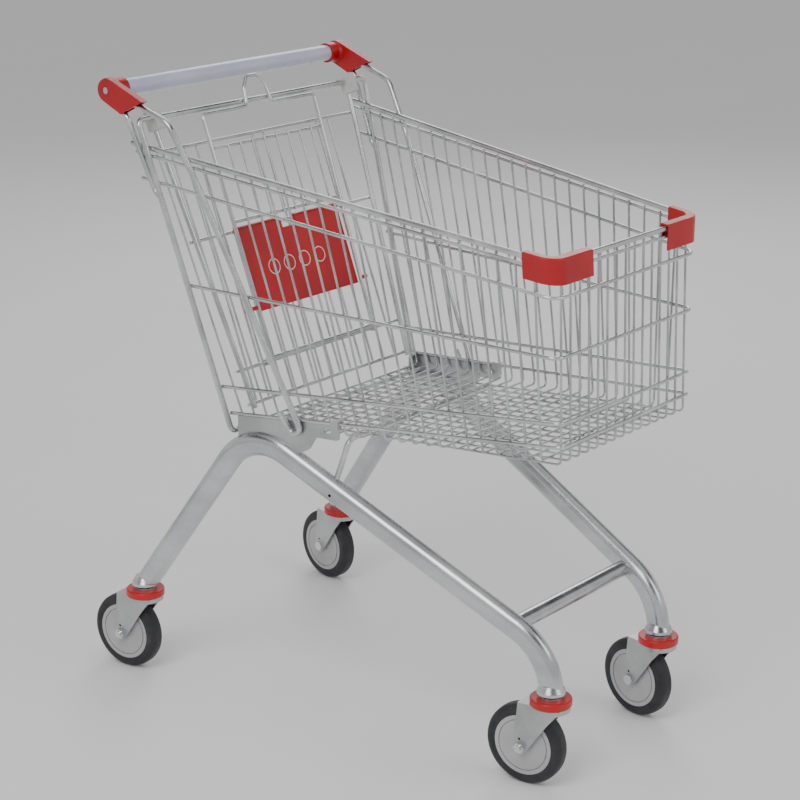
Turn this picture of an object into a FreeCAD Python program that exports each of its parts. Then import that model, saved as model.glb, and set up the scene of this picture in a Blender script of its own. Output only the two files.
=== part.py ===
"""Nesting supermarket trolley: wire basket with a swinging rear gate, folding child seat,
tube chassis, plastic-capped push handle and four swivel castors.

Frame: +X towards the nose of the basket, +Y to the trolley's left, +Z up.  The origin is on the
floor, at the middle of the overall length and width.  All sizes are millimetres.
In the layout below, x is measured from the rear castors' swivel axis; SHIFT moves it to the frame.
"""
import FreeCAD
import Part
import math
import os

import Sketcher
from FreeCAD import Placement, Rotation, Vector

doc = FreeCAD.newDocument("Trolley")

# ------------------------------------------------------------------ driving dimensions
SIZES = [
    # castors
    ("tyre_rad", 62.5), ("tyre_width", 26.0), ("tyre_round", 9.0), ("hub_rad", 46.4),
    ("hub_groove_rad", 39.5), ("hub_groove_wide", 1.8), ("hub_groove_deep", 1.6), ("hub_boss_rad", 11.0),
    ("hub_boss_width", 30.0), ("axle_rad", 5.0), ("running_gap", 0.05), ("trail", 38.0),
    ("fork_gap", 5.0), ("fork_sheet", 3.0), ("fork_side_gap", 2.0), ("fork_head_rad", 29.0),
    ("seal_rad", 31.0), ("seal_tall", 12.0), ("race_rad", 19.5), ("race_tall", 15.5),
    ("stem_rad", 8.0), ("stem_nut_rad", 12.0), ("cup_rad", 21.0), ("cup_tall", 9.0), ("cup_gap", 3.5),
    # chassis
    ("wheelbase", 740.0),
    ("leg_tall", 37.0), ("leg_wide", 27.5), ("rear_leg_lean", 54.7), ("front_leg_fall", 25.4),
    ("arch_apex_x", 218.5), ("arch_bend", 85.0), ("toe_bend", 100.0), ("leg_hole_rad", 2.5),
    ("cross_tube_rad", 12.5), ("cross_tube_x", 672.0), ("cross_tube_drop", 5.26), ("support_rad", 4.5),
    ("support_x", 385.0), ("bracket_sheet", 2.5),
    # basket
    ("wall_half", 248.2), ("wall_taper_x", 0.096), ("wall_taper_z", 0.054), ("wall_ref_z", 885.0),
    ("front_x", 754.3), ("front_lean", 0.03), ("rim_rad", 4.0), ("low_rim_rad", 2.75),
    ("rim_rear_x", 21.0), ("rim_rear_z", 877.8), ("rim_front_z", 794.5), ("rim_pitch", 11.0),
    ("ring_rad", 2.75), ("ring_corner", 22.0), ("mesh_rad", 1.7), ("mesh_bend", 8.0),
    ("side_count", 23), ("side_top_x", 720.0), ("side_top_step", 29.0),
    ("side_low_x", 726.0), ("side_low_step", 23.75), ("front_count", 15), ("front_step", 22.0),
    ("floor_front_z", 511.0), ("floor_fall", 0.0925), ("floor_rear_x", 208.0), ("floor_bar_rad", 3.5),
    # rear posts, handle rods and handle
    ("rod_rad", 4.5), ("rod_bend", 14.0), ("pivot_x", 44.0), ("pivot_z", 916.0), ("post_foot_x", 186.0),
    ("post_foot_z", 446.0), ("handle_x", -16.0), ("handle_z", 954.5), ("handle_rad", 13.0),
    ("cap_half", 265.5), ("cap_deep", 14.6), ("cap_round", 18.5), ("cap_wall", 2.5), ("cap_collar_rad", 16.2),
    ("cap_collar_long", 24.0), ("cap_edge", 3.5), ("screw_rad", 5.5), ("front_rod_bend", 32.0),
    # bumpers
    ("bumper_tall", 37.0), ("bumper_skin", 3.0), ("bumper_side_long", 42.0), ("bumper_front_long", 78.0),
    # gate
    ("gate_lean", 20.97), ("stile_rad", 4.0), ("stile_top_half", 221.0), ("stile_low_half", 183.0),
    ("gate_rail_rad", 2.75), ("gate_mesh_rad", 2.0), ("gate_bar_rad", 5.0), ("stile_back", 9.0),
    ("rail_top_drop", 50.7), ("rail_mid_drop", 195.0), ("rail_low_drop", 403.0), ("rail_end_drop", 457.0),
    ("block_tall", 32.0), ("block_deep", 24.0), ("block_wide", 14.0), ("block_half", 214.0),
    # child seat
    ("seat_rod_rad", 3.2), ("seat_top_half", 127.0), ("seat_low_half", 119.0), ("seat_top_drop", 10.0),
    ("seat_bar_rad", 4.0), ("seat_mesh_count", 8), ("seat_loop_half", 28.0), ("seat_loop_tall", 46.0),
    ("seat_rail_high", 64.3), ("seat_rail_low", 181.0), ("plate_half", 117.0), ("plate_long", 130.0),
    ("plate_sheet", 3.0), ("plate_notch_half", 16.0), ("clip_wall", 3.6), ("hook_wide", 7.5),
    ("lug_long", 12.0), ("lug_rad", 3.4),
    ("rear_half_track", "=wall_half - 8.2"), ("front_half_track", "=wall_half - 108.2"),
]
sheet = doc.addObject("Spreadsheet::Sheet", "Sizes")
for row, (alias, value) in enumerate(SIZES, start=1):
    sheet.set("A%d" % row, alias)
    sheet.set("B%d" % row, str(value))
    sheet.setAlias("B%d" % row, alias)
doc.recompute()
V = {alias: float(sheet.get(alias)) for alias, _ in SIZES}

PARTS = []          # (object, node name) in writing order


def v(x, y, z):
    """A point of the layout, moved into the trolley's frame."""
    return Vector(x + SHIFT, y, z)


def lin(*terms):
    """A sum of named sizes: its value, and the same sum as an expression for the document."""
    value, text = 0.0, []
    for name, factor in terms:
        value += factor * (V[name] if name else 1.0)
        text.append("%.6g%s" % (factor, " * Sizes." + name if name else ""))
    return value, " + ".join(text).replace("+ -", "- ")


# the castors stand in line with the chassis tubes, which close in towards the nose
YAW = math.degrees(math.atan((V["rear_half_track"] - V["front_half_track"]) / V["wheelbase"]))

# overall length: from the back of the rear tyres to the bumpers or the front castors' seals
BACK = -V["trail"] * math.cos(math.radians(YAW)) - V["tyre_rad"]
NOSE = max(V["front_x"] + V["ring_rad"] + V["bumper_skin"], V["wheelbase"] + V["seal_rad"])
SHIFT = -(BACK + NOSE) / 2.0


# ------------------------------------------------------------------ wire and rod helpers
def rod(a, b, radius):
    """Straight round rod from a to b."""
    d = b.sub(a)
    return Part.makeCylinder(radius, d.Length, a, d)


def corner(p, q, r, bend):
    """Tangent points and middle of a bend of centre-line radius `bend` at q, between p and r."""
    a, b = p.sub(q).normalize(), r.sub(q).normalize()
    half = a.getAngle(b) / 2.0
    reach = bend / math.tan(half)
    mid = a.add(b).normalize().multiply(bend / math.sin(half) - bend)
    return q.add(a.multiply(reach)), q.add(mid), q.add(b.multiply(reach))


def path(points, bend):
    """Edges of a polyline whose inner corners are rounded."""
    edges, start = [], points[0]
    for i in range(1, len(points) - 1):
        a, m, b = corner(points[i - 1], points[i], points[i + 1], bend)
        edges.append(Part.LineSegment(start, a).toShape())
        edges.append(Part.Arc(a, m, b).toShape())
        start = b
    edges.append(Part.LineSegment(start, points[-1]).toShape())
    return edges


def tube_along(edges, radius):
    """Round bar swept along joined edges."""
    first = edges[0]
    start = first.valueAt(first.FirstParameter)
    ring = Part.Wire([Part.makeCircle(radius, start, first.tangentAt(first.FirstParameter))])
    return Part.Wire(edges).makePipeShell([ring], True, False)


def bent(points, radius, bend):
    """One bent rod."""
    return tube_along(path(points, bend), radius)


def runs(points, radius, bend):
    """A bent wire as its straight runs and its bends, each a solid that meets the next face to face."""
    out = []
    for edge in path(points, bend):
        out.append(tube_along([edge], radius))
    return out


def feature(name, shape, place=None):
    """Sub-part whose shape comes from Part's own functions, with sizes read from the sheet."""
    if not isinstance(shape, (list, tuple)):
        shape = [shape]
    obj = doc.addObject("Part::Feature", name)
    obj.Shape = Part.makeCompound(list(shape))
    obj.Placement = place or Placement(Vector(0, 0, 0), Rotation())
    obj.Label = name
    PARTS.append((obj, name))
    return obj


def both(make):
    """The right (-Y) and left (+Y) copies of something made for a side of -1 or +1."""
    return [make(-1), make(1)]


# ------------------------------------------------------------------ castors
def revolved(name, profile, pos, yaw):
    """PartDesign body: a closed profile of (radius, height) corners turned about its own axis.
    Each corner is a pair of `lin` sums, bound to the sheet.  The axis lies level, `yaw` degrees off Y."""
    body = doc.addObject("PartDesign::Body", name)
    sketch = body.newObject("Sketcher::SketchObject", name + "_profile")
    plane = [f for f in body.Origin.OriginFeatures if f.Role == "XZ_Plane"][0]
    sketch.AttachmentSupport = [(plane, "")]
    sketch.MapMode = "FlatFace"
    n = len(profile)
    pts = [Vector(r[0], h[0], 0) for r, h in profile]
    for i in range(n):
        sketch.addGeometry(Part.LineSegment(pts[i], pts[(i + 1) % n]), False)
    for i in range(n):
        sketch.addConstraint(Sketcher.Constraint("Coincident", i, 2, (i + 1) % n, 1))
    for i, (r, h) in enumerate(profile):
        for kind, (value, text) in (("DistanceX", r), ("DistanceY", h)):
            if abs(value) < 1e-9:
                sketch.addConstraint(Sketcher.Constraint("PointOnObject", i, 1, -2 if kind == "DistanceX" else -1))
                continue
            if value > 0:
                k = sketch.addConstraint(Sketcher.Constraint(kind, -1, 1, i, 1, value))
                sketch.setExpression("Constraints[%d]" % k, text)
            else:
                k = sketch.addConstraint(Sketcher.Constraint(kind, i, 1, -1, 1, -value))
                sketch.setExpression("Constraints[%d]" % k, "-(%s)" % text)
    turn = body.newObject("PartDesign::Revolution", name + "_turn")
    turn.Profile = sketch
    turn.ReferenceAxis = (sketch, ["V_Axis"])
    turn.Angle = 360.0
    body.Tip = turn
    doc.recompute()
    # the profile's height runs along Z in the body, which is laid over onto the wheel's axis
    body.Placement = Placement(pos, Rotation(Vector(0, 0, 1), yaw).multiply(Rotation(Vector(1, 0, 0), 90)))
    body.Label = name
    PARTS.append((body, name))
    return body


HUB_HALF = V["hub_boss_width"] / 2.0
LEG_IN = HUB_HALF + V["fork_side_gap"]              # inner face of a fork leg
LEG_OUT = LEG_IN + V["fork_sheet"]
FORK_Z = 2 * V["tyre_rad"] + V["fork_gap"]          # underside of the fork's head
HEAD_Z = FORK_Z + V["fork_sheet"]                   # top of the fork's head
CUP_Z = HEAD_Z + V["race_tall"] + V["cup_gap"]      # mouth of the chassis cup

CASTORS = [
    ("rear_right", 0.0, -V["rear_half_track"]), ("rear_left", 0.0, V["rear_half_track"]),
    ("front_right", V["wheelbase"], -V["front_half_track"]),
    ("front_left", V["wheelbase"], V["front_half_track"]),
]


def fork_shape():
    """Pressed fork: a round head over the swivel and two tapering legs down to the axle."""
    tail = -V["trail"] - 6.0
    head = Part.makeCylinder(V["fork_head_rad"], V["fork_sheet"], Vector(0, 0, FORK_Z))
    bridge = Part.makeBox(-tail, 2 * LEG_OUT, V["fork_sheet"], Vector(tail, -LEG_OUT, FORK_Z))
    body = head.fuse(bridge)
    eye = Vector(-V["trail"], 0, V["tyre_rad"])
    eye_rad = 12.0
    outline = [Vector(tail, 0, HEAD_Z), Vector(eye.x - eye_rad, 0, eye.z - 2.0), Vector(eye.x + 1.5, 0, eye.z - eye_rad),
               Vector(eye.x + eye_rad - 2.0, 0, eye.z - 4.0), Vector(4.0, 0, FORK_Z - 24.0),
               Vector(V["fork_head_rad"] - 6.0, 0, FORK_Z), Vector(V["fork_head_rad"] - 6.0, 0, HEAD_Z)]
    for side in (-1, 1):
        y = LEG_IN if side > 0 else -LEG_OUT
        pts = [Vector(p.x, y, p.z) for p in outline]
        leg = Part.Face(Part.makePolygon(pts + [pts[0]])).extrude(Vector(0, V["fork_sheet"], 0))
        body = body.fuse(leg)
    # skirt under the head, around its front half
    skirt = Part.makeCylinder(V["fork_head_rad"], 7.0, Vector(0, 0, HEAD_Z - 7.0))
    skirt = skirt.cut(Part.makeCylinder(V["fork_head_rad"] - 2.4, 7.0, Vector(0, 0, HEAD_Z - 7.0)))
    skirt = skirt.common(Part.makeBox(60, 120, 20, Vector(2.0, -60, HEAD_Z - 12.0)))
    body = body.fuse(skirt)
    body = body.cut(Part.makeCylinder(V["stem_rad"] + V["running_gap"], 20, Vector(0, 0, FORK_Z - 5)))
    body = body.cut(Part.makeCylinder(V["axle_rad"], 2 * LEG_OUT + 4, Vector(eye.x, -LEG_OUT - 2, eye.z), Vector(0, 1, 0)))
    body = body.cut(Part.makeCylinder(2.0, 2 * LEG_OUT + 4, Vector(eye.x - 2.0, -LEG_OUT - 2, eye.z + 12.8),
                                      Vector(0, 1, 0)))
    return body.removeSplitter()


def hexagon(across, thick, base, direction):
    """Hexagonal nut or head, `across` flats wide."""
    radius = across / math.sqrt(3)
    pts = [Vector(radius * math.cos(math.radians(60 * k)), radius * math.sin(math.radians(60 * k)), 0)
           for k in range(7)]
    solid = Part.Face(Part.makePolygon(pts)).extrude(Vector(0, 0, thick))
    solid.Placement = Placement(base, Rotation(Vector(0, 0, 1), direction))
    return solid


def axle_shape():
    """Axle bolt through both legs, with its head, nut and thread end."""
    x, z = -V["trail"], V["tyre_rad"]
    shaft = Part.makeCylinder(V["axle_rad"], 2 * LEG_OUT + 10.0, Vector(x, -LEG_OUT - 10.0, z), Vector(0, 1, 0))
    nut = hexagon(15.0, 6.0, Vector(x, -LEG_OUT - 6.0, z), Vector(0, 1, 0))
    head = hexagon(15.0, 4.5, Vector(x, LEG_OUT, z), Vector(0, 1, 0))
    return shaft.fuse([nut, head]).removeSplitter()


fork = fork_shape()
axle = axle_shape()
for tag, cx, cy in CASTORS:
    yaw = YAW if cy < 0 else -YAW
    at = Placement(v(cx, cy, 0), Rotation(Vector(0, 0, 1), yaw))
    feature("castor_%s_fork" % tag, fork, at)
    # the axle bolts' nuts face outwards on both sides of the trolley
    feature("castor_%s_axle" % tag, axle if cy < 0 else axle.mirror(Vector(0, 0, 0), Vector(0, 1, 0)), at)
    wheel = at.multVec(Vector(-V["trail"], 0, V["tyre_rad"]))
    crown = lin(("tyre_rad", 1))
    tyre_name = "castor_%s_tyre" % tag
    tyre = revolved(tyre_name, [
        (lin(("hub_rad", 1)), lin(("tyre_width", -0.5))),
        (lin(("tyre_rad", 1), ("tyre_round", -0.85)), lin(("tyre_width", -0.5))),
        (lin(("tyre_rad", 1), ("tyre_round", -0.45)), lin(("tyre_width", -0.5), ("tyre_round", 0.15))),
        (lin(("tyre_rad", 1), ("tyre_round", -0.16)), lin(("tyre_width", -0.5), ("tyre_round", 0.42))),
        (lin(("tyre_rad", 1), ("tyre_round", -0.03)), lin(("tyre_width", -0.5), ("tyre_round", 0.75))),
        (crown, lin(("tyre_width", -0.5), ("tyre_round", 1.1))),
        (crown, lin(("tyre_width", 0.5), ("tyre_round", -1.1))),
        (lin(("tyre_rad", 1), ("tyre_round", -0.03)), lin(("tyre_width", 0.5), ("tyre_round", -0.75))),
        (lin(("tyre_rad", 1), ("tyre_round", -0.16)), lin(("tyre_width", 0.5), ("tyre_round", -0.42))),
        (lin(("tyre_rad", 1), ("tyre_round", -0.45)), lin(("tyre_width", 0.5), ("tyre_round", -0.15))),
        (lin(("tyre_rad", 1), ("tyre_round", -0.85)), lin(("tyre_width", 0.5))),
        (lin(("hub_rad", 1)), lin(("tyre_width", 0.5))),
    ], wheel, yaw)
    face = ("tyre_width", 0.5)
    back = ("tyre_width", -0.5)
    bore = lin(("axle_rad", 1), ("running_gap", 1))
    rim_in = lin(("hub_groove_rad", 1), ("hub_groove_wide", -0.5))
    rim_out = lin(("hub_groove_rad", 1), ("hub_groove_wide", 0.5))
    deep = ("hub_groove_deep", -1)
    revolved("castor_%s_hub" % tag, [
        (bore, lin(("hub_boss_width", -0.5))), (lin(("hub_boss_rad", 1)), lin(("hub_boss_width", -0.5))),
        (lin(("hub_boss_rad", 1)), lin(back)), (rim_in, lin(back)), (rim_in, lin(back, ("hub_groove_deep", 1))),
        (rim_out, lin(back, ("hub_groove_deep", 1))), (rim_out, lin(back)),
        (lin(("hub_rad", 1)), lin(back)), (lin(("hub_rad", 1)), lin(face)),
        (rim_out, lin(face)), (rim_out, lin(face, deep)), (rim_in, lin(face, deep)), (rim_in, lin(face)),
        (lin(("hub_boss_rad", 1)), lin(face)), (lin(("hub_boss_rad", 1)), lin(("hub_boss_width", 0.5))),
        (bore, lin(("hub_boss_width", 0.5))),
    ], wheel, yaw)
    # seal ring standing on the fork's head, turning round the bearing race
    seal = Part.makeCylinder(V["seal_rad"], V["seal_tall"], v(cx, cy, HEAD_Z))
    seal = seal.cut(Part.makeCylinder(V["race_rad"] + V["running_gap"], V["seal_tall"], v(cx, cy, HEAD_Z)))
    rims = [e for e in seal.Edges if e.Curve.TypeId == "Part::GeomCircle" and abs(e.Curve.Radius - V["seal_rad"]) < 1e-6]
    feature("castor_%s_seal" % tag, seal.makeFillet(V["seal_tall"] * 0.22, rims))


def race(cx, cy):
    """Bearing race, tight on the stem and just clear of the fork's head below it."""
    low = HEAD_Z + V["running_gap"]
    ring = Part.makeCylinder(V["race_rad"], V["race_tall"], v(cx, cy, low))
    return ring.cut(Part.makeCylinder(V["stem_rad"], V["race_tall"], v(cx, cy, low)))


feature("castor_races", [race(cx, cy) for tag, cx, cy in CASTORS])


# ------------------------------------------------------------------ chassis
LEG_SLOPE = (V["rear_half_track"] - V["front_half_track"]) / V["wheelbase"]


def leg_y(x):
    """Half distance between the two chassis tubes at x."""
    return V["rear_half_track"] - LEG_SLOPE * x


def leg_points():
    """Corners of a chassis tube's centre line: rear foot, apex, toe and front foot, as (x, z)."""
    top = CUP_Z + V["cup_tall"]
    rise = math.tan(math.radians(V["rear_leg_lean"]))
    fall = math.tan(math.radians(V["front_leg_fall"]))
    ax = V["arch_apex_x"]
    az = top - 11.0 + rise * ax
    return [(-3.0, top - 11.0 - rise * 3.0), (ax, az), (V["wheelbase"], az - fall * (V["wheelbase"] - ax)), (V["wheelbase"], top - 9.0)]


def leg_shape(side, wide, tall):
    """Flat-oval tube along the arch."""
    pts = [v(x, side * leg_y(x), z) for x, z in leg_points()]
    edges = []
    a, m, b = corner(pts[0], pts[1], pts[2], V["arch_bend"])
    c, n, d = corner(pts[1], pts[2], pts[3], V["toe_bend"])
    edges = [Part.LineSegment(pts[0], a).toShape(), Part.Arc(a, m, b).toShape(), Part.LineSegment(b, c).toShape(),
             Part.Arc(c, n, d).toShape(), Part.LineSegment(d, pts[3]).toShape()]
    along = pts[1].sub(pts[0]).normalize()
    across = pts[3].sub(pts[0]).cross(Vector(0, 0, 1)).normalize()
    up = along.cross(across).normalize()
    r, flat = wide / 2.0, (tall - wide) / 2.0
    o = pts[0]
    p1, p2 = o + across * r + up * flat, o + across * (-r) + up * flat
    p3, p4 = o + across * (-r) - up * flat, o + across * r - up * flat
    ring = Part.Wire([Part.Arc(p1, o + up * (flat + r), p2).toShape(), Part.LineSegment(p2, p3).toShape(),
                      Part.Arc(p3, o - up * (flat + r), p4).toShape(), Part.LineSegment(p4, p1).toShape()])
    return Part.Wire(edges).makePipeShell([ring], True, False)


LEGS = {}
for side, word in ((-1, "right"), (1, "left")):
    solid = leg_shape(side, V["leg_wide"], V["leg_tall"])
    hx = 372.0
    zx = leg_points()[1][1] - math.tan(math.radians(V["front_leg_fall"])) * (hx - V["arch_apex_x"])
    hole = Part.makeCylinder(V["leg_hole_rad"], 80, v(hx, side * leg_y(hx) - 40, zx - 3.0), Vector(0, 1, 0))
    # both feet end level, in their cups
    waste = Part.makeBox(2000, 2000, 100, Vector(-1000, -1000, CUP_Z + V["cup_tall"] * 0.5 - 100))
    LEGS[side] = solid.cut(hole).cut(waste)

cups, stems = [], []
for tag, cx, cy in CASTORS:
    lip = Part.makeCylinder(V["cup_rad"], V["cup_tall"] * 0.5, v(cx, cy, CUP_Z))
    flare = Part.makeCone(V["cup_rad"], V["leg_wide"] / 2.0 + 1.5, V["cup_tall"], v(cx, cy, CUP_Z + V["cup_tall"] * 0.5))
    cup = lip.fuse(flare).removeSplitter()
    cups.append(cup)
    shank = Part.makeCylinder(V["stem_rad"], CUP_Z - FORK_Z + 7.0, v(cx, cy, FORK_Z - 7.0))
    nut = hexagon(20.0, 6.5, v(cx, cy, FORK_Z - 7.0), Vector(0, 0, 1))
    washer = Part.makeCylinder(V["race_rad"] - 5.0, 2.0, v(cx, cy, CUP_Z - 2.0))
    stems.append(shank.fuse([nut, washer]).removeSplitter())
for side, word in ((-1, "right"), (1, "left")):
    feature("chassis_tube_%s" % word, LEGS[side].cut(Part.makeCompound(cups)))
feature("castor_cups", cups)
feature("castor_stems", stems)

cross = doc.addObject("Part::Cylinder", "front_cross_tube")
cross.setExpression("Radius", "Sizes.cross_tube_rad")
cross_half = leg_y(V["cross_tube_x"]) - V["leg_wide"] / 2.0
slope_text = "(Sizes.rear_half_track - Sizes.front_half_track) / Sizes.wheelbase"
cross.setExpression("Height", "2 * (Sizes.rear_half_track - %s * Sizes.cross_tube_x - Sizes.leg_wide / 2)" % slope_text)
leg_line = leg_points()[1][1] - math.tan(math.radians(V["front_leg_fall"])) * (V["cross_tube_x"] - V["arch_apex_x"])
cross.Placement = Placement(v(V["cross_tube_x"], cross_half, leg_line - V["cross_tube_drop"]), Rotation(Vector(1, 0, 0), 90))
cross.Label = "front_cross_tube"
PARTS.append((cross, "front_cross_tube"))


# ------------------------------------------------------------------ basket
def skin(x, z):
    """Half width between the mesh wires' axes at (x, z)."""
    return V["wall_half"] - V["wall_taper_x"] * x + V["wall_taper_z"] * (z - V["wall_ref_z"])


def front(z):
    """x of the front rings' axis at height z."""
    return V["front_x"] - V["front_lean"] * (z - 750.0)


def floor_z(x):
    """Height of the cross wires of the floor."""
    return V["floor_front_z"] + V["floor_fall"] * (x - 761.0)


MESH_OFF = V["mesh_rad"] + V["ring_rad"]                 # ring axis outside the mesh axis
RIM_OFF = MESH_OFF + V["ring_rad"] - V["rim_rad"]        # rims are flush with the rings outside


def band(xr, zr, zf, off, radius):
    """A horizontal wire round the basket: both sides and the front, with rounded corners that
    leave the outermost upright of the front on the straight run."""
    fx = front(zf) + off - MESH_OFF
    outer = (V["front_count"] - 1) / 2.0 * V["front_step"]
    bend = min(V["ring_corner"] + off - RIM_OFF, skin(fx, zf) + off - outer + 1.0)
    pts = [v(xr, -(skin(xr, zr) + off), zr), v(fx, -(skin(fx, zf) + off), zf),
           v(fx, skin(fx, zf) + off, zf), v(xr, skin(xr, zr) + off, zr)]
    return runs(pts, radius, bend)


rim_fall = (V["rim_rear_z"] - V["rim_front_z"]) / (front(V["rim_front_z"]) - V["rim_rear_x"])


def rim_z(x):
    return V["rim_rear_z"] - rim_fall * (x - V["rim_rear_x"])


feature("basket_rim_upper", band(V["rim_rear_x"], V["rim_rear_z"], V["rim_front_z"], RIM_OFF, V["rim_rad"]))
feature("basket_rim_lower", band(V["rim_rear_x"] + 9.0, rim_z(V["rim_rear_x"] + 9.0) - V["rim_pitch"],
                                 V["rim_front_z"] - V["rim_pitch"], MESH_OFF, V["low_rim_rad"]))
RINGS = [(37.8, 826.2, 745.6), (116.4, 668.5, 661.8), (165.5, 515.0, 568.2), (180.0, 474.7, 534.0)]
rings = []
for xr, zr, zf in RINGS:
    rings += band(xr, zr, zf, MESH_OFF, V["ring_rad"])
feature("basket_side_rings", rings)
RING_D = RINGS[-1]


def ring_d_z(x):
    return RING_D[1] + (RING_D[2] - RING_D[1]) * (x - RING_D[0]) / (front(RING_D[2]) - RING_D[0])


rise_top = math.sqrt((V["rim_rad"] + V["mesh_rad"]) ** 2 - RIM_OFF ** 2) + 0.2
uprights = {-1: [], 1: []}
bends, cross_wires = [], []
for i in range(int(V["side_count"])):
    xt = V["side_top_x"] - i * V["side_top_step"]
    xl = V["side_low_x"] - i * V["side_low_step"]
    zt = 826.2 - 0.1123 * (xt - 37.8)
    zl = floor_z(xl)
    lean = (xt - xl) / (zt - zl)
    x_end = xt + lean * (rim_z(xt) - zt)
    z_end = rim_z(x_end) - rise_top
    x_end = xl + lean * (z_end - zl)
    pts = [v(x_end, -skin(x_end, z_end), z_end), v(xl, -skin(xl, zl), zl), v(xl, skin(xl, zl), zl),
           v(x_end, skin(x_end, z_end), z_end)]
    a, b1, c, b2, d = runs(pts, V["mesh_rad"], V["mesh_bend"])
    uprights[-1].append(a)
    uprights[1].append(d)
    bends += [b1, b2]
    cross_wires.append(c)
feature("basket_side_mesh_right", uprights[-1])
feature("basket_side_mesh_left", uprights[1])
feature("basket_floor_cross_wires", cross_wires)

front_up, front_long = [], []
low = 2 * V["mesh_rad"] * math.sqrt(1 + V["floor_fall"] ** 2) + 0.03
for i in range(int(V["front_count"])):
    y = (i - (V["front_count"] - 1) / 2.0) * V["front_step"]
    z_end = V["rim_front_z"] - rise_top
    top = v(front(z_end) - MESH_OFF, y, z_end)
    zk = floor_z(front(V["floor_front_z"]) - MESH_OFF) - low
    xk = front(zk) - MESH_OFF
    tail = v(V["floor_rear_x"] - 6.0, y, floor_z(V["floor_rear_x"] - 6.0) - low)
    a, b, c = runs([top, v(xk, y, zk), tail], V["mesh_rad"], V["mesh_bend"])
    front_up.append(a)
    bends.append(b)
    front_long.append(c)
feature("basket_front_mesh", front_up)
feature("basket_floor_long_wires", front_long)
feature("basket_mesh_bends", bends)
bar_x = V["floor_rear_x"]
bar_z = floor_z(bar_x) - low - V["mesh_rad"] - V["floor_bar_rad"]
bar_half = skin(bar_x, bar_z) - 3.0
feature("basket_floor_rear_bar", rod(v(bar_x, -bar_half, bar_z), v(bar_x, bar_half, bar_z), V["floor_bar_rad"]))

# support rod bent down from under the floor to both chassis tubes
sx = V["support_x"]
sz = floor_z(sx) - low - V["mesh_rad"] - V["support_rad"]
foot_x = sx - 14.0
leg_top = leg_points()[1][1] - math.tan(math.radians(V["front_leg_fall"])) * (foot_x - V["arch_apex_x"])
leg_top += V["leg_tall"] / 2.0 / math.cos(math.radians(V["front_leg_fall"]))
support = bent([v(foot_x, -leg_y(foot_x) + 4.0, leg_top - 3.0), v(sx, -skin(sx, sz) + 16.0, sz),
                v(sx, skin(sx, sz) - 16.0, sz), v(foot_x, leg_y(foot_x) - 4.0, leg_top - 3.0)],
               V["support_rad"], 16.0)
feature("basket_support_rod", support.cut(Part.makeCompound([LEGS[-1], LEGS[1]])))

# sheet brackets between the chassis arches and the lowest ring
ring_tool = Part.makeCompound(rings)


def wall_off(x, z, off):
    return skin(x, z) + MESH_OFF + off


def bracket(side):
    """Plate under the lowest ring, standing on the arch, with a rear flange and a front clip."""
    x0, x1 = RING_D[0] + 14.0, 386.0
    tilt = math.atan2(wall_off(x1, 490, 0) - wall_off(x0, 474, 0), x1 - x0)
    edge = V["ring_rad"] + 0.05
    outline = [(x0, ring_d_z(x0) - edge), (x1, ring_d_z(x1) - edge), (x1 - 2, 471.0), (x1 - 7, 469.0), (343.0, 467.0),
               (331.0, 447.5), (326.0, 443.5), (300.0, 430.0), (200.0, 420.0), (x0, 436.0)]
    base = wall_off(x0, 474, 0)
    pts = []
    for x, z in outline:
        pts.append(v(x, side * (base + math.tan(tilt) * (x - x0)), z))
    across = Vector(-math.sin(tilt) * side, 1.0, 0).normalize() * V["bracket_sheet"]
    plate = Part.Face(Part.makePolygon(pts + [pts[0]])).extrude(across)
    plate.translate(across * -0.5)
    flange = Part.makeBox(V["bracket_sheet"], 18.0, 38.0,
                          v(x0, side * base - (18.0 if side > 0 else 0.0), ring_d_z(x0) - edge - 38.0))
    clip_y = side * wall_off(x1 - 8, ring_d_z(x1 - 8), 0)
    clip = Part.makeBox(14.0, 10.0, 12.0, v(x1 - 14.0, clip_y - 5.0, ring_d_z(x1 - 8) - 7.0))
    slot = Part.makeCylinder(3.4, 30, v(366.0, side * (base + math.tan(tilt) * 180) - 15, 480.5), Vector(0, 1, 0))
    slot = slot.fuse(Part.makeCylinder(3.4, 30, v(361.0, side * (base + math.tan(tilt) * 180) - 15, 480.2), Vector(0, 1, 0)))
    solid = plate.fuse([flange, clip]).cut(slot)
    # two open arches over the tube between the welds
    for ox, oz, orad in ((238.0, 442.0, 13.0), (286.0, 433.0, 10.0)):
        solid = solid.cut(Part.makeCylinder(orad, 60, v(ox, side * base - 30, oz), Vector(0, 1, 0)))
    solid = solid.cut(LEGS[side]).cut(ring_tool).cut(Part.makeCompound(uprights[side] + bends))
    return max(solid.Solids, key=lambda s: s.Volume)


for side, word in ((-1, "right"), (1, "left")):
    feature("basket_bracket_%s" % word, bracket(side))

# ------------------------------------------------------------------ rear posts, handle rods
ROD_OFF = V["ring_rad"] + V["rod_rad"]


def rod_pt(side, x, z):
    """Axis of a rod that lies against the rings on the outside."""
    return v(x, side * wall_off(x, z, ROD_OFF), z)


def cap_pt(side, x, z):
    """Axis of a handle rod inside its end cap."""
    return v(x, side * (V["cap_half"] - V["cap_deep"] / 2.0), z)


def post(side):
    """Rear corner post: its top is bent inwards as the gate's pivot pin, its foot hooks inwards."""
    px, pz = V["pivot_x"], V["pivot_z"]
    pin_tip = v(px, side * (V["block_half"] + 6.0), pz)
    foot = rod_pt(side, V["post_foot_x"], V["post_foot_z"])
    hook = foot + Vector(0, -side * 24.0, 4.0)
    return bent([pin_tip, rod_pt(side, px, pz), foot, hook], V["rod_rad"], 10.0)


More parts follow.
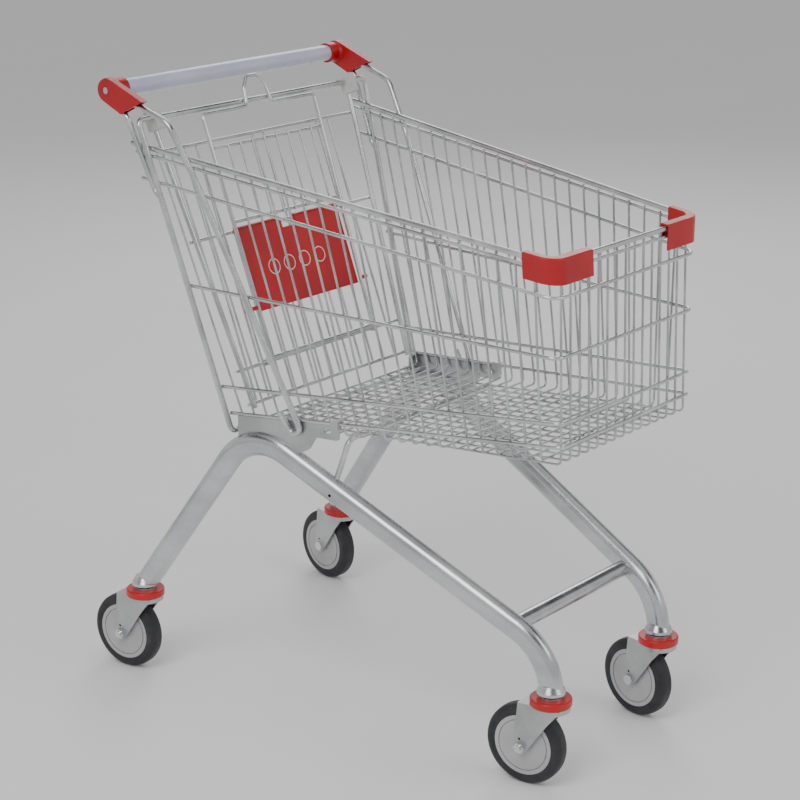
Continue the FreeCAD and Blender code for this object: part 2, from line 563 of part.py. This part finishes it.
def rear_rod(side):
    """Rear handle rod: out of the cap, down beside the post, its end turned in to the post."""
    pts = [(61.0, 828.0), (68.0, 812.0), (76.0, 803.5)]
    return bent([cap_pt(side, -14.0, 941.0), cap_pt(side, 23.0, 918.5)] + [rod_pt(side, x, z) for x, z in pts],
                V["rod_rad"], 9.0)


def front_rod(side):
    """Front handle rod: out of the cap, then a long slant outside the basket to a hook at the bracket."""
    upper = path([cap_pt(side, 6.0, 949.5), rod_pt(side, 103.0, 918.0), rod_pt(side, 149.0, 835.0)],
                 V["front_rod_bend"])
    lower = path([rod_pt(side, x, z) for x, z in [(149.0, 835.0), (321.0, 470.0), (301.0, 467.5), (281.0, 497.0)]], 9.0)
    return tube_along(upper + lower, V["rod_rad"])


for side, word in ((-1, "right"), (1, "left")):
    feature("rear_post_%s" % word, post(side))
    feature("handle_rods_%s" % word, [rear_rod(side), front_rod(side)])

HANDLE_HALF = V["cap_half"] - V["cap_deep"] - 4.0
handle = doc.addObject("Part::Cylinder", "handle_tube")
handle.setExpression("Radius", "Sizes.handle_rad")
handle.setExpression("Height", "2 * (Sizes.cap_half - Sizes.cap_deep - 4)")
handle.Placement = Placement(v(V["handle_x"], HANDLE_HALF, V["handle_z"]),
                             Rotation(Vector(1, 0, 0), 90))
handle.Label = "handle_tube"
PARTS.append((handle, "handle_tube"))


def cap_outline(x, z, shrink, y):
    """Round end about the handle's axis, widening to the cut end where the two rods come out."""
    r = V["cap_round"] - shrink
    up, down = Vector(0.34, 0, 0.94).normalize(), Vector(-0.38, 0, -0.925).normalize()
    c = v(x, y, z)
    a, d = c + up * r, c + down * r
    b = v(60.5, y, 944.8) - up * shrink
    e = v(13.5, y, 921.5) - down * shrink
    left = c + Vector(-0.99, 0, 0.1).normalize() * r
    return Part.Face(Part.Wire([Part.LineSegment(a, b).toShape(), Part.LineSegment(b, e).toShape(),
                                Part.LineSegment(e, d).toShape(), Part.Arc(d, left, a).toShape()]))


def cap(side):
    """Moulded end cap: a channel over the two rods with a collar for the handle tube."""
    hx, hz = V["handle_x"], V["handle_z"]
    y_in = V["cap_half"] - V["cap_deep"]
    solid = cap_outline(hx, hz, 0.0, V["cap_half"]).extrude(Vector(0, -V["cap_deep"], 0))
    rim = [e for e in solid.Edges if abs(e.CenterOfMass.y - V["cap_half"]) < 1e-3
           and not (e.Curve.TypeId == "Part::GeomLine" and min(p.Point.x for p in e.Vertexes) > SHIFT + 12)]
    solid = solid.makeFillet(V["cap_edge"], rim)
    hollow = cap_outline(hx, hz, V["cap_wall"], V["cap_half"] - V["cap_wall"])
    hollow = hollow.extrude(Vector(0, -(V["cap_deep"] - 2 * V["cap_wall"]), 0))
    slide = hollow.copy()
    slide.translate(Vector(7.0, 0, -12.0))
    solid = solid.cut(hollow).cut(slide)
    collar = Part.makeCylinder(V["cap_collar_rad"], V["cap_collar_long"], v(hx, y_in - V["cap_collar_long"] + 2, hz),
                               Vector(0, 1, 0))
    root = Part.makeCone(V["cap_collar_rad"], V["cap_round"], 5.0, v(hx, y_in - 5.0, hz), Vector(0, 1, 0))
    solid = solid.fuse([collar, root])
    solid = solid.cut(Part.makeCylinder(V["handle_rad"], 60, v(hx, HANDLE_HALF - 60.0, hz), Vector(0, 1, 0)))
    solid = solid.cut(Part.makeCylinder(V["screw_rad"], 10, v(hx, V["cap_half"] - 3.5, hz), Vector(0, 1, 0)))
    if side < 0:
        solid = solid.mirror(Vector(0, 0, 0), Vector(0, 1, 0))
    return solid


def screw(side):
    y = V["cap_half"] - V["cap_wall"]
    head = Part.makeCylinder(V["screw_rad"] - 0.3, 2.2, v(V["handle_x"], y - 0.2, V["handle_z"]), Vector(0, 1, 0))
    slot = Part.makeBox(8.0, 1.2, 1.4, v(V["handle_x"] - 4.0, y + 1.0, V["handle_z"] - 0.7))
    shank = Part.makeCylinder(2.5, y - HANDLE_HALF, v(V["handle_x"], HANDLE_HALF, V["handle_z"]), Vector(0, 1, 0))
    solid = head.cut(slot).fuse(shank)
    if side < 0:
        solid = solid.mirror(Vector(0, 0, 0), Vector(0, 1, 0))
    return solid


rod_tool = Part.makeCompound([rear_rod(-1), front_rod(-1), rear_rod(1), front_rod(1)] + both(screw))
feature("handle_caps", [c.cut(rod_tool) for c in both(cap)])


# ------------------------------------------------------------------ corner bumpers
def bumper(side):
    """Plastic corner over both rims: an upside-down channel following the rims round the corner."""
    zf = V["rim_front_z"]
    fx = front(zf)
    yo = skin(fx, zf)
    top = V["rim_rad"] + V["bumper_skin"]

    def outline(off, long_side, long_front):
        """Plan of the strip between the mesh and an offset `off` outside the mesh axis."""
        xs, xf = fx - MESH_OFF - long_side, fx - MESH_OFF + off
        return [(xs, skin(xs, zf) + off), (xf, skin(xf, zf) + off), (xf, yo - long_front)]

    def solid_between(off_in, off_out, z0, z1, grow=0.0):
        o = outline(off_out, V["bumper_side_long"] + grow, V["bumper_front_long"] + grow)
        i = outline(off_in, V["bumper_side_long"] + grow, V["bumper_front_long"] + grow)
        r_out = V["ring_corner"] + off_out - RIM_OFF
        r_in = max(V["ring_corner"] + off_in - RIM_OFF, 2.0)
        a = [Vector(x, y, z0) for x, y in o]
        b = [Vector(x, y, z0) for x, y in i]
        t1, m1, t2 = corner(a[0], a[1], a[2], r_out)
        s1, n1, s2 = corner(b[0], b[1], b[2], r_in)
        edges = [Part.LineSegment(a[0], t1).toShape(), Part.Arc(t1, m1, t2).toShape(), Part.LineSegment(t2, a[2]).toShape(),
                 Part.LineSegment(a[2], b[2]).toShape(), Part.LineSegment(b[2], s2).toShape(),
                 Part.Arc(s2, n1, s1).toShape(), Part.LineSegment(s1, b[0]).toShape(), Part.LineSegment(b[0], a[0]).toShape()]
        return Part.Face(Part.Wire(edges)).extrude(Vector(0, 0, z1 - z0))

    out = MESH_OFF + V["ring_rad"] + V["bumper_skin"]
    inn = -V["mesh_rad"] - V["bumper_skin"]
    shell = solid_between(inn, out, zf + top - V["bumper_tall"], zf + top)
    hard = [e for e in shell.Edges if abs(e.BoundBox.ZMax - (zf + top)) < 1e-6 and abs(e.BoundBox.ZMin - (zf + top)) < 1e-6
            and e.Length > 16.0]
    shell = shell.makeFillet(V["bumper_skin"] * 0.8, hard)
    slot = solid_between(-V["mesh_rad"] - 0.4, MESH_OFF + V["ring_rad"] + 0.9,
                         zf - V["bumper_tall"] - 5, zf + V["rim_rad"], 2.0)
    shell = shell.cut(slot)
    # the inner wall is shorter than the outer one
    short = solid_between(inn - 1.0, -V["mesh_rad"] - 0.2, zf - V["bumper_tall"] - 5, zf - 14.0, 2.0)
    shell = shell.cut(short)
    # follow the fall of the rims and the lean of the front and side walls
    lean_x, lean_y = V["front_lean"], V["wall_taper_z"]
    shell = shell.transformGeometry(FreeCAD.Matrix(1, 0, -lean_x, lean_x * zf + SHIFT, 0, 1, lean_y, -lean_y * zf,
                                                   -rim_fall, 0, 1, rim_fall * fx, 0, 0, 0, 1))
    if side < 0:
        shell = shell.mirror(Vector(0, 0, 0), Vector(0, 1, 0))
    return shell


for side, word in ((-1, "right"), (1, "left")):
    feature("bumper_%s" % word, bumper(side))
feature("handle_screws", both(screw))

# ------------------------------------------------------------------ gate
# gate coordinates: u runs down the gate from the pivot, w stands out of it towards the nose
lean = math.radians(V["gate_lean"])
U = Vector(math.sin(lean), 0, -math.cos(lean))
W = Vector(math.cos(lean), 0, math.sin(lean))
PIVOT = Vector(V["pivot_x"], 0, V["pivot_z"])


def g(u, w, y):
    """Point of the gate, in the trolley's frame."""
    p = PIVOT + U * u + W * w
    return v(p.x, y, p.z)


STILE_W = -V["stile_back"]
RAIL_W = STILE_W - V["stile_rad"] - V["gate_rail_rad"]
MESH_W = RAIL_W - V["gate_rail_rad"] - V["gate_mesh_rad"]
STILE_TOP = 8.0


def stile_y(u):
    f = (u - STILE_TOP) / (V["rail_end_drop"] - STILE_TOP)
    return V["stile_top_half"] + f * (V["stile_low_half"] - V["stile_top_half"])


def stile(side):
    end = V["rail_end_drop"] + 7.0
    return rod(g(STILE_TOP, STILE_W, side * stile_y(STILE_TOP)), g(end, STILE_W, side * stile_y(end)), V["stile_rad"])


def level(u, w, half, radius):
    """Straight wire across the gate."""
    return rod(g(u, w, -half), g(u, w, half), radius)


feature("gate_stiles", both(stile))
bar_end = V["block_half"] + 5.0
feature("gate_top_bar", level(0.0, STILE_W, bar_end, V["gate_bar_rad"]))
feature("gate_rails", [level(V[n], RAIL_W, stile_y(V[n]) + 5.0, V["gate_rail_rad"])
                       for n in ("rail_top_drop", "rail_mid_drop", "rail_low_drop", "rail_end_drop")])
long_y = [-165.0, -137.0, -12.0, 12.0, 137.0, 165.0]
short_y = [-110.0, -82.5, -55.0, -30.0, 30.0, 55.0, 82.5, 110.0]
gate_mesh = [rod(g(V["rail_top_drop"] - 3.0, MESH_W, y), g(V["rail_end_drop"] + 3.0, MESH_W, y),
                 V["gate_mesh_rad"]) for y in long_y]
gate_mesh += [rod(g(V["rail_mid_drop"] - 0.5, MESH_W, y), g(V["rail_end_drop"] + 3.0, MESH_W, y),
                  V["gate_mesh_rad"]) for y in short_y]
feature("gate_mesh", gate_mesh)


def block(side):
    """Plastic bearing block: bored for the post's pin, with sockets for the top bar and the stile."""
    w0 = STILE_W - 7.5
    y0 = V["block_half"] if side > 0 else -V["block_half"] - V["block_wide"]
    box = Part.makeBox(V["block_tall"], V["block_wide"], V["block_deep"])
    box = box.makeFillet(3.0, [e for e in box.Edges if abs(e.BoundBox.YMax - e.BoundBox.YMin) > 1.0])
    m = FreeCAD.Matrix(U.x, 0, W.x, 0, 0, 1, 0, 0, U.z, 0, W.z, 0, 0, 0, 0, 1)
    # right-handed frame: the box is built with its long side down the gate
    box = box.transformGeometry(m)
    box.translate(g(-12.0, w0, y0))
    pin = Part.makeCylinder(V["rod_rad"] + V["running_gap"], 60, v(V["pivot_x"], -30 + side * (V["block_half"] + 36.0),
                                                                     V["pivot_z"]), Vector(0, 1, 0))
    return box.cut(pin).cut(stile(side)).cut(level(0.0, STILE_W, bar_end, V["gate_bar_rad"]))


feature("gate_hinge_blocks", both(block))

# ------------------------------------------------------------------ child seat
SEAT_TOP_W = 0.5
BAR_W = RAIL_W + V["gate_rail_rad"] + V["seat_bar_rad"] + 1.75
BAR_U = V["rail_low_drop"] - 4.0


def seat_w(u):
    """Stand-off of the seat frame's side rods, from the top bar down to the bottom bar."""
    f = (u - V["seat_top_drop"]) / (BAR_U - V["seat_top_drop"])
    return SEAT_TOP_W + f * (BAR_W - SEAT_TOP_W)


def seat_y(u):
    f = (u - V["seat_top_drop"]) / (BAR_U - V["seat_top_drop"])
    return V["seat_top_half"] + f * (V["seat_low_half"] - V["seat_top_half"])


u_top, u_bot = V["seat_top_drop"], BAR_U - V["seat_bar_rad"] - 0.2
lh = V["seat_loop_half"]
loop_mid, loop_top = u_top - V["seat_loop_tall"] * 0.62, u_top - V["seat_loop_tall"]
frame_pts = [(u_bot, -seat_y(u_bot)), (u_top, -seat_y(u_top)), (u_top, -lh), (loop_mid, -lh * 0.84),
             (loop_top, -lh * 0.4), (loop_top, lh * 0.4), (loop_mid, lh * 0.84), (u_top, lh),
             (u_top, seat_y(u_top)), (u_bot, seat_y(u_bot))]
feature("seat_frame", bent([g(u, seat_w(u) if u > u_top else SEAT_TOP_W, y) for u, y in frame_pts], V["seat_rod_rad"], 8.0))
hook_y = seat_y(u_bot) + V["seat_rod_rad"] + 0.4           # the eyelets sit just outside the side rods
seat_bar_half = hook_y + V["hook_wide"] + 0.5
feature("seat_bottom_bar", level(BAR_U, BAR_W, seat_bar_half, V["seat_bar_rad"]))
rails, mesh = [], []
rail_r = V["seat_rod_rad"] * 0.85
for u in (V["seat_rail_high"], V["seat_rail_low"]):
    rails.append(level(u, seat_w(u), seat_y(u) - V["seat_rod_rad"] - 0.1, rail_r))
feature("seat_grid_rails", rails)
n = int(V["seat_mesh_count"])
gap = 2.0 * (seat_y(V["seat_rail_high"]) - 4.0) / (n + 1)
for k in range(n):
    y = -(seat_y(V["seat_rail_high"]) - 4.0) + gap * (k + 1)
    off = rail_r + V["mesh_rad"]
    a, b = V["seat_rail_high"] - 5.0, V["seat_rail_low"] + 4.0
    mesh.append(rod(g(a, seat_w(a) + off, y), g(b, seat_w(b) + off, y), V["mesh_rad"]))
feature("seat_grid_mesh", mesh)


def hook(side):
    """Eyelet round the gate's lower rail, tangent to the seat's bottom bar."""
    reach = math.hypot(BAR_W - RAIL_W, BAR_U - V["rail_low_drop"]) - V["seat_bar_rad"]
    y0 = hook_y if side > 0 else -hook_y - V["hook_wide"]
    at = g(V["rail_low_drop"], RAIL_W, y0)
    ring = Part.makeCylinder(reach, V["hook_wide"], at, Vector(0, 1, 0))
    return ring.cut(Part.makeCylinder(V["gate_rail_rad"] + V["running_gap"], V["hook_wide"], at, Vector(0, 1, 0)))


def lug(side):
    """Plastic stop on the outside of a side rod, level with the lower edge of the folded board."""
    u = V["rail_mid_drop"] + V["plate_long"] - 7.0
    y = seat_y(u) + V["seat_rod_rad"] - 1.2
    peg = rod(g(u, seat_w(u), side * y), g(u, seat_w(u), side * (y + V["lug_long"])), V["lug_rad"])
    low, high = u - 15.0, u + 15.0
    saddle = rod(g(low, seat_w(low), side * seat_y(low)), g(high, seat_w(high), side * seat_y(high)),
                 V["seat_rod_rad"] + V["running_gap"])
    return max(peg.cut(saddle).Solids, key=lambda part: part.Volume)


feature("seat_hooks", both(hook))
feature("seat_stop_lugs", both(lug))


def seat_plate():
    """Seat board: a flat plate whose upper edge rolls over the gate's middle rail in two clips."""
    um = V["rail_mid_drop"]
    ring_out = V["gate_rail_rad"] + V["clip_wall"]
    half = V["plate_half"]
    top_w = RAIL_W + ring_out
    corners = [(um, -half), (um, half), (um + V["plate_long"], half * 1.0), (um + V["plate_long"], -half * 1.0)]
    pts = [g(u, top_w - V["plate_sheet"], y) for u, y in corners]
    slab = Part.Face(Part.makePolygon(pts + [pts[0]])).extrude(W * V["plate_sheet"])
    tube = Part.makeCylinder(ring_out, 2 * half, g(um, RAIL_W, -half), Vector(0, 1, 0))
    solid = slab.fuse(tube)
    solid = solid.cut(Part.makeCylinder(V["gate_rail_rad"] + V["running_gap"], 2 * half, g(um, RAIL_W, -half), Vector(0, 1, 0)))
    # open back, so that the roll stays clear of the gate's mesh as the board swings up
    turn = Rotation(Vector(0, 1, 0), -V["gate_lean"])
    back = Part.makeBox(20, 2 * half + 10, 40)
    back.Placement = Placement(g(um + 20.0, RAIL_W + 0.25 - 20.0, -half - 5.0), turn)
    solid = solid.cut(back)
    notch = Part.makeBox(40, 2 * V["plate_notch_half"], 24)
    notch.Placement = Placement(g(um + 12.0, RAIL_W - 20.0, -V["plate_notch_half"]), turn)
    solid = solid.cut(notch)
    return max(solid.Solids, key=lambda s: s.Volume)


feature("seat_plate", seat_plate())

# ------------------------------------------------------------------ check and write
doc.recompute()
os.makedirs("parts", exist_ok=True)
faults = []
for obj in doc.Objects:
    if "Invalid" in obj.State or "Error" in obj.State:
        faults.append("%s: %s" % (obj.Name, obj.State))
for obj, name in PARTS:
    if obj.Shape.isNull() or not obj.Shape.isValid() or not obj.Shape.Solids:
        faults.append("%s has no valid solid" % name)
if faults:
    raise RuntimeError("; ".join(faults))
for obj, name in PARTS:
    obj.Shape.exportStep("parts/%s.step" % name)
print("%d sub-parts written" % len(PARTS))
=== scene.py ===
import bpy
import math
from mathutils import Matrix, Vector


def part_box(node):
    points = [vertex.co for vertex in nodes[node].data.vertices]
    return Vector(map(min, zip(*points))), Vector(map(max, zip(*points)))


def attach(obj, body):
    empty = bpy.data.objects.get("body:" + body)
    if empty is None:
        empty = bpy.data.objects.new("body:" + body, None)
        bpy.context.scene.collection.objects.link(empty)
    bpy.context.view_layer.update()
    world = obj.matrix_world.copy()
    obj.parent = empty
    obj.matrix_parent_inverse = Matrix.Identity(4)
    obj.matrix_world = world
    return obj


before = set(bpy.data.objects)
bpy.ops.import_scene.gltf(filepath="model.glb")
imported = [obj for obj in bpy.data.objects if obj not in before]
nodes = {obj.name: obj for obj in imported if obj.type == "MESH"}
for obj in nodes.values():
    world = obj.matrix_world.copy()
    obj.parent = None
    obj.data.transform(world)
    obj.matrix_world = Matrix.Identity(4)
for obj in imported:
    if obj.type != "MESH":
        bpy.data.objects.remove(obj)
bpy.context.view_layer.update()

scene = bpy.context.scene


# ---------------------------------------------------------------- material helpers
def new_material(name):
    """Empty node material: returns (material, nodes, links, principled)."""
    mat = bpy.data.materials.new(name)
    mat.use_nodes = True
    tree = mat.node_tree
    return mat, tree.nodes, tree.links, tree.nodes["Principled BSDF"]


def coords(ns, ln, scale=(1, 1, 1)):
    """Object coordinates in metres, stretched by scale."""
    tex, mapping = ns.new("ShaderNodeTexCoord"), ns.new("ShaderNodeMapping")
    mapping.inputs["Scale"].default_value = scale
    ln.new(tex.outputs["Object"], mapping.inputs["Vector"])
    return mapping.outputs["Vector"]


def noise(ns, ln, vec, scale, detail=4.0, rough=0.55):
    n = ns.new("ShaderNodeTexNoise")
    n.inputs["Scale"].default_value = scale
    n.inputs["Detail"].default_value = detail
    n.inputs["Roughness"].default_value = rough
    ln.new(vec, n.inputs["Vector"])
    return n.outputs["Fac"]


def ramp(ns, ln, fac, stops):
    """Colour ramp from (position, colour) stops."""
    r = ns.new("ShaderNodeValToRGB")
    els = r.color_ramp.elements
    while len(els) < len(stops):
        els.new(0.5)
    for e, (pos, col) in zip(els, stops):
        e.position = pos
        e.color = (*col, 1.0)
    ln.new(fac, r.inputs["Fac"])
    return r.outputs["Color"]


def remap(ns, ln, fac, low, high, a=0.3, b=0.7):
    """Stretch a-to-b onto low-to-high."""
    m = ns.new("ShaderNodeMapRange")
    for key, val in (("From Min", a), ("From Max", b), ("To Min", low), ("To Max", high)):
        m.inputs[key].default_value = val
    ln.new(fac, m.inputs["Value"])
    return m.outputs["Result"]


def bump(ns, ln, fac, bsdf, strength, distance):
    b = ns.new("ShaderNodeBump")
    b.inputs["Strength"].default_value = strength
    b.inputs["Distance"].default_value = distance
    ln.new(fac, b.inputs["Height"])
    ln.new(b.outputs["Normal"], bsdf.inputs["Normal"])


def metal(name, dark, mid, light, rough=(0.16, 0.32), grain=90.0, coat=0.5, strength=0.12, stretch=(1, 1, 1)):
    """Zinc-plated steel under clear lacquer: cloudy tone, fine streaks, a glossy coat."""
    mat, ns, ln, p = new_material(name)
    vec = coords(ns, ln, stretch)
    cloud = noise(ns, ln, vec, 14.0, 3.0)
    fine = noise(ns, ln, vec, grain * 12, 5.0, 0.65)
    mix = ns.new("ShaderNodeMath")
    mix.operation = "MULTIPLY_ADD"
    mix.inputs[1].default_value = 0.35
    ln.new(fine, mix.inputs[0])
    half = ns.new("ShaderNodeMath")
    half.operation = "MULTIPLY"
    half.inputs[1].default_value = 0.65
    ln.new(cloud, half.inputs[0])
    ln.new(half.outputs[0], mix.inputs[2])
    ln.new(ramp(ns, ln, mix.outputs[0], [(0.34, dark), (0.5, mid), (0.66, light)]), p.inputs["Base Color"])
    p.inputs["Metallic"].default_value = 1.0
    ln.new(remap(ns, ln, mix.outputs[0], rough[0], rough[1], 0.35, 0.65), p.inputs["Roughness"])
    p.inputs["Coat Weight"].default_value = coat
    p.inputs["Coat Roughness"].default_value = 0.12
    bump(ns, ln, fine, p, strength, 0.0002)
    return mat


def plastic(name, base, shade, rough=(0.28, 0.42), grain=900.0, strength=0.12, coat=0.15, sub=0.0):
    """Moulded plastic: fine texture, slight tone drift, rubbed-smooth patches."""
    mat, ns, ln, p = new_material(name)
    vec = coords(ns, ln)
    cloud = noise(ns, ln, vec, 9.0, 3.0)
    fine = noise(ns, ln, vec, grain, 3.0, 0.6)
    ln.new(ramp(ns, ln, cloud, [(0.35, shade), (0.62, base)]), p.inputs["Base Color"])
    ln.new(remap(ns, ln, cloud, rough[1], rough[0]), p.inputs["Roughness"])
    p.inputs["Coat Weight"].default_value = coat
    p.inputs["Coat Roughness"].default_value = 0.2
    p.inputs["Subsurface Weight"].default_value = sub
    p.inputs["Subsurface Radius"].default_value = (0.004, 0.001, 0.001)
    bump(ns, ln, fine, p, strength, 0.0001)
    return mat


def rubber(name):
    """Tyre tread: near-black, dusty where it rolls, with a fine bumpy grain."""
    mat, ns, ln, p = new_material(name)
    vec = coords(ns, ln)
    cloud = noise(ns, ln, vec, 30.0, 5.0, 0.6)
    fine = noise(ns, ln, vec, 700.0, 4.0)
    stops = [(0.3, (0.012, 0.012, 0.014)), (0.62, (0.03, 0.03, 0.033)), (0.8, (0.075, 0.072, 0.07))]
    ln.new(ramp(ns, ln, cloud, stops), p.inputs["Base Color"])
    ln.new(remap(ns, ln, fine, 0.42, 0.62), p.inputs["Roughness"])
    p.inputs["Specular IOR Level"].default_value = 0.45
    bump(ns, ln, fine, p, 0.25, 0.0002)
    return mat


wire = metal("wire_zinc", (0.42, 0.425, 0.43), (0.60, 0.605, 0.61), (0.76, 0.77, 0.78), (0.18, 0.34))
mesh_wire = metal("mesh_zinc", (0.36, 0.365, 0.37), (0.52, 0.525, 0.53), (0.68, 0.69, 0.70), (0.2, 0.36))
tube = metal("tube_zinc", (0.42, 0.43, 0.44), (0.56, 0.57, 0.58), (0.70, 0.71, 0.72), (0.2, 0.34),
             stretch=(0.3, 1, 1))
pressed = metal("pressed_zinc", (0.34, 0.345, 0.35), (0.48, 0.485, 0.49), (0.60, 0.605, 0.61), (0.28, 0.45),
                coat=0.25)
bright = metal("bright_zinc", (0.55, 0.56, 0.57), (0.70, 0.71, 0.72), (0.82, 0.82, 0.82), (0.12, 0.24))
red = plastic("red_moulded", (0.50, 0.004, 0.009), (0.38, 0.003, 0.007), coat=0.08)
seal_red = plastic("red_seal", (0.55, 0.006, 0.006), (0.42, 0.004, 0.005), (0.3, 0.42), coat=0.08)
lilac = plastic("handle_sleeve", (0.56, 0.57, 0.70), (0.50, 0.51, 0.64), (0.2, 0.3), grain=500.0, coat=0.4)
grey = plastic("hinge_grey", (0.62, 0.62, 0.60), (0.54, 0.54, 0.52), (0.34, 0.5))
nylon = plastic("hub_nylon", (0.48, 0.48, 0.49), (0.40, 0.40, 0.41), (0.32, 0.48))
tyre = rubber("tyre_rubber")


CASTOR_MATS = (("_tyre", tyre), ("_hub", nylon), ("_seal", seal_red), ("_axle", bright), ("_fork", pressed))


def material_for(name):
    """The material of a CAD node, from its name."""
    if name.startswith("castor_"):
        for end, mat in CASTOR_MATS:
            if name.endswith(end):
                return mat
        return bright if name in ("castor_stems", "castor_races") else tube
    if name.startswith(("chassis", "front_cross", "basket_bracket")):
        return pressed if "bracket" in name else tube
    if name in ("seat_plate", "handle_caps", "bumper_left", "bumper_right", "seat_stop_lugs"):
        return red
    if name == "handle_tube":
        return lilac
    if name == "gate_hinge_blocks":
        return grey
    if name == "handle_screws":
        return bright
    if "mesh" in name or "wires" in name:
        return mesh_wire
    return wire


for name, obj in nodes.items():
    mats = obj.data.materials
    mat = material_for(name)
    if len(mats) == 0:
        mats.append(mat)
    for i in range(len(mats)):
        mats[i] = mat


# ---------------------------------------------------------------- seat board: four plain printed rings
GATE_LEAN = math.radians(20.97)
BOARD_SHEET = 0.003
RING_Y = (-0.0578, -0.0227, 0.0124, 0.0475)
RING_UP = 0.062                  # ring centres above the board's lower edge, along its face
RING_INNER, RING_OUTER = 0.0112, 0.0126
RING_PROUD = 0.0002
RING_STEPS = 48

lo, hi = (Vector(p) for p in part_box("seat_plate"))
down = Vector((math.sin(GATE_LEAN), 0, -math.cos(GATE_LEAN)))
outward = Vector((math.cos(GATE_LEAN), 0, math.sin(GATE_LEAN)))
# the board's lower front edge, taken from its box; the face with the rings runs up from there
edge = Vector((hi.x, 0, lo.z + BOARD_SHEET * outward.z))


def ring_ink():
    """White print, slightly uneven."""
    mat, ns, ln, p = new_material("ring_print")
    fac = noise(ns, ln, coords(ns, ln), 600.0, 3.0)
    stops = [(0.3, (0.72, 0.66, 0.66)), (0.6, (0.85, 0.83, 0.83))]
    ln.new(ramp(ns, ln, fac, stops), p.inputs["Base Color"])
    p.inputs["Roughness"].default_value = 0.5
    return mat


def board_ring(name, y, mat):
    """Flat ring on the board's face."""
    centre = edge - down * RING_UP + Vector((0, y, 0)) + outward * RING_PROUD
    verts, faces = [], []
    for i in range(RING_STEPS):
        t = 2 * math.pi * i / RING_STEPS
        ray = down * math.cos(t) + Vector((0, 1, 0)) * math.sin(t)
        verts += [centre + ray * RING_INNER, centre + ray * RING_OUTER]
    for i in range(RING_STEPS):
        j = (i + 1) % RING_STEPS
        faces.append((2 * i, 2 * i + 1, 2 * j + 1, 2 * j))
    me = bpy.data.meshes.new(name)
    me.from_pydata([tuple(q) for q in verts], [], faces)
    me.materials.append(mat)
    ring = bpy.data.objects.new(name, me)
    scene.collection.objects.link(ring)
    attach(ring, "seat_board")


ink = ring_ink()
for k, y in enumerate(RING_Y):
    board_ring("board_ring_%d" % k, y, ink)


# ---------------------------------------------------------------- floor, light, camera
def stage_mesh(name, verts, faces, mat):
    """Scenery outside the part."""
    me = bpy.data.meshes.new(name)
    me.from_pydata(verts, [], faces)
    ob = bpy.data.objects.new(name, me)
    scene.collection.objects.link(ob)
    me.materials.append(mat)


floor_mat, ns, ln, p = new_material("floor_white")
fvec = coords(ns, ln)
ln.new(ramp(ns, ln, noise(ns, ln, fvec, 2.0, 3.0), [(0.3, (0.95, 0.95, 0.95)), (0.7, (0.97, 0.97, 0.97))]),
       p.inputs["Base Color"])
p.inputs["Roughness"].default_value = 0.8
FLOOR_HALF = 14
stage_mesh("floor", [(-FLOOR_HALF, -FLOOR_HALF, 0), (FLOOR_HALF, -FLOOR_HALF, 0),
                     (FLOOR_HALF, FLOOR_HALF, 0), (-FLOOR_HALF, FLOOR_HALF, 0)], [(0, 1, 2, 3)], floor_mat)


def area(name, loc, target, size, energy):
    """Square area light aimed at a point."""
    data = bpy.data.lights.new(name, "AREA")
    data.energy = energy
    data.size = size
    ob = bpy.data.objects.new(name, data)
    ob.location = loc
    ob.rotation_euler = (Vector(target) - Vector(loc)).to_track_quat("-Z", "Y").to_euler()
    scene.collection.objects.link(ob)


LIGHT_TARGET = (0, 0, 0.5)
# name, place, size in metres, power in watts
LIGHTS = (
    ("key", (0.6, -2.6, 3.2), 2.0, 56),
    ("fill", (3.0, 0.6, 2.4), 1.6, 18),
    ("back", (-1.8, 2.6, 2.6), 1.8, 30),
)
for light, place, size, power in LIGHTS:
    area(light, place, LIGHT_TARGET, size, power)

# brightness of the studio from straight below (0) to straight above (1)
WORLD_STOPS = ((0.44, 1.0), (0.51, 0.9), (0.58, 0.06), (0.74, 0.05), (0.84, 0.9))
WORLD_STRENGTH = 0.7
world = bpy.data.worlds.new("studio")
scene.world = world
world.use_nodes = True
wn, wl = world.node_tree.nodes, world.node_tree.links
bg = wn["Background"]
wt = wn.new("ShaderNodeTexCoord")
sep = wn.new("ShaderNodeSeparateXYZ")
wl.new(wt.outputs["Generated"], sep.inputs[0])
wr = wn.new("ShaderNodeValToRGB")
els = wr.color_ramp.elements
els[0].position, els[0].color = 0.0, (1, 1, 1, 1)
els[1].position, els[1].color = 1.0, (1, 1, 1, 1)
for pos, val in WORLD_STOPS:
    e = els.new(pos)
    e.color = (val, val, val * 1.01, 1)
wl.new(sep.outputs["Z"], wr.inputs["Fac"])
wl.new(wr.outputs["Color"], bg.inputs["Color"])
bg.inputs["Strength"].default_value = WORLD_STRENGTH

# camera fitted to the photograph
LENS_MM, SENSOR_MM = 93.07, 36.0
CAMERA_AT = (1.97448, -2.3479, 1.4737)
CAMERA_TILT, CAMERA_TURN = 71.96, 40.02
cam_data = bpy.data.cameras.new("camera")
cam_data.lens = LENS_MM
cam_data.sensor_width = SENSOR_MM
cam = bpy.data.objects.new("camera", cam_data)
cam.location = CAMERA_AT
cam.rotation_euler = (math.radians(CAMERA_TILT), 0.0, math.radians(CAMERA_TURN))
scene.collection.objects.link(cam)
scene.camera = cam
